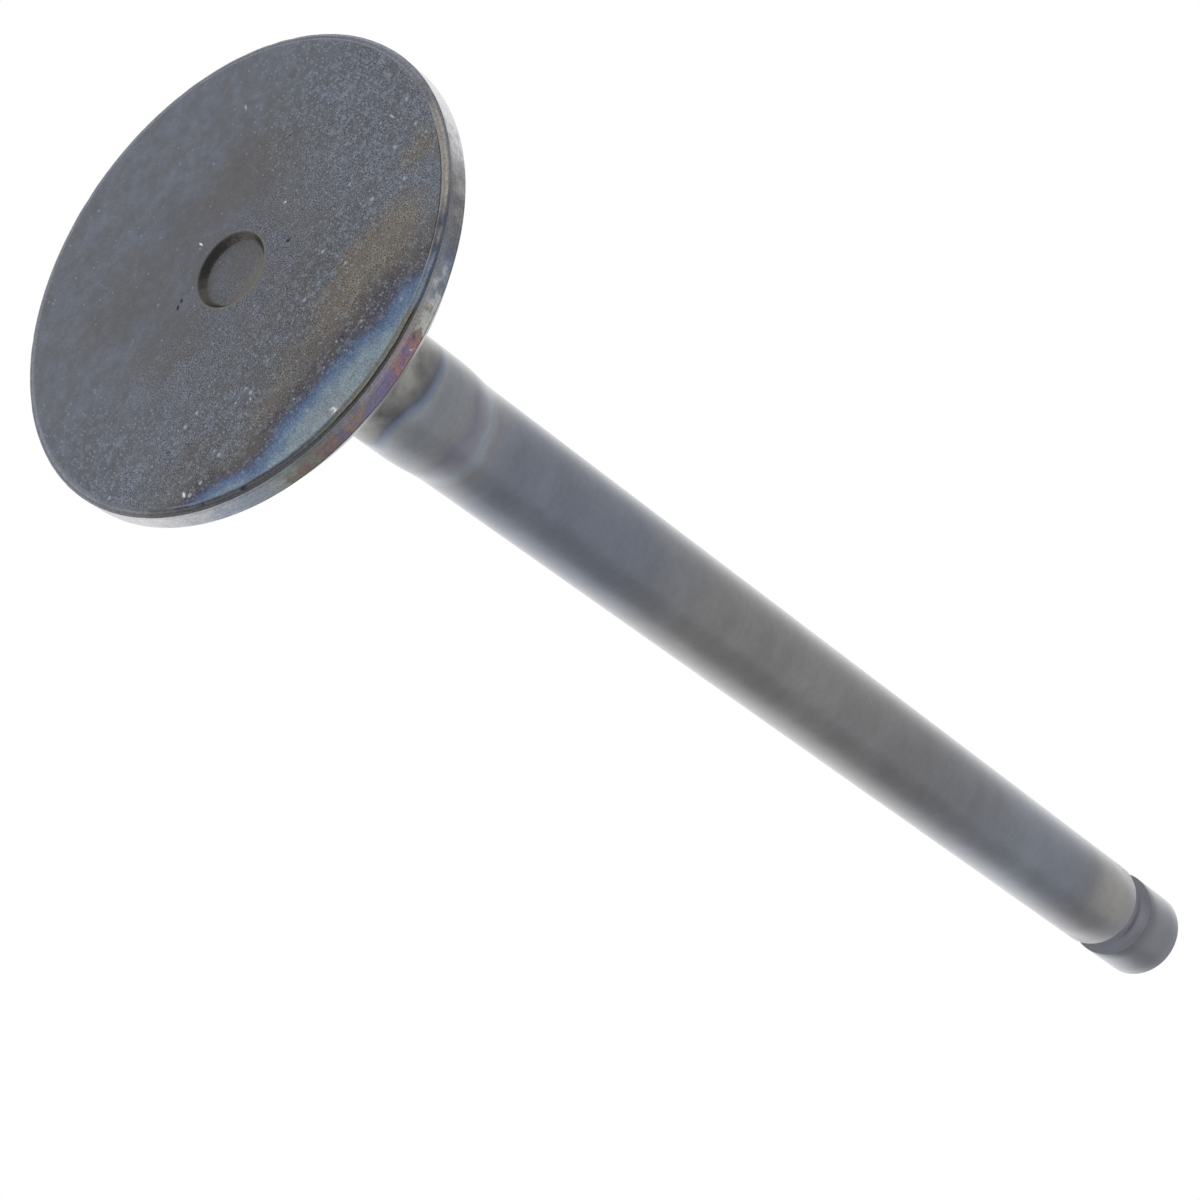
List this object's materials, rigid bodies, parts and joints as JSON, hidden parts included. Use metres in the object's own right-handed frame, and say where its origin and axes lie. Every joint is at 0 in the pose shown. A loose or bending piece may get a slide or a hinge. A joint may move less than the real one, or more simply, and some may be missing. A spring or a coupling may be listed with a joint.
{
  "type": "engine valve",
  "caption": "Turned poppet valve with a flat dimpled head, thin margin, angled seat, filleted underhead, slightly thicker neck, ground stem and a round keeper groove near the tip.",
  "frame": {"origin": "centre of the combustion face, at the bottom of the valve as it stands on its head", "axes": "+Z along the valve's axis, from the combustion face to the stem tip; +X and +Y are free, since the form is turned round +Z"},
  "size_m": [0.0306, 0.0306, 0.1157],
  "materials": {
    "tempered_steel": "heat-tinted steel: blasted dark combustion face, fine-turned margin, ground satin stem"
  },
  "bodies": {
    "root": {"valve": "tempered_steel"}
  },
  "joints": []
}
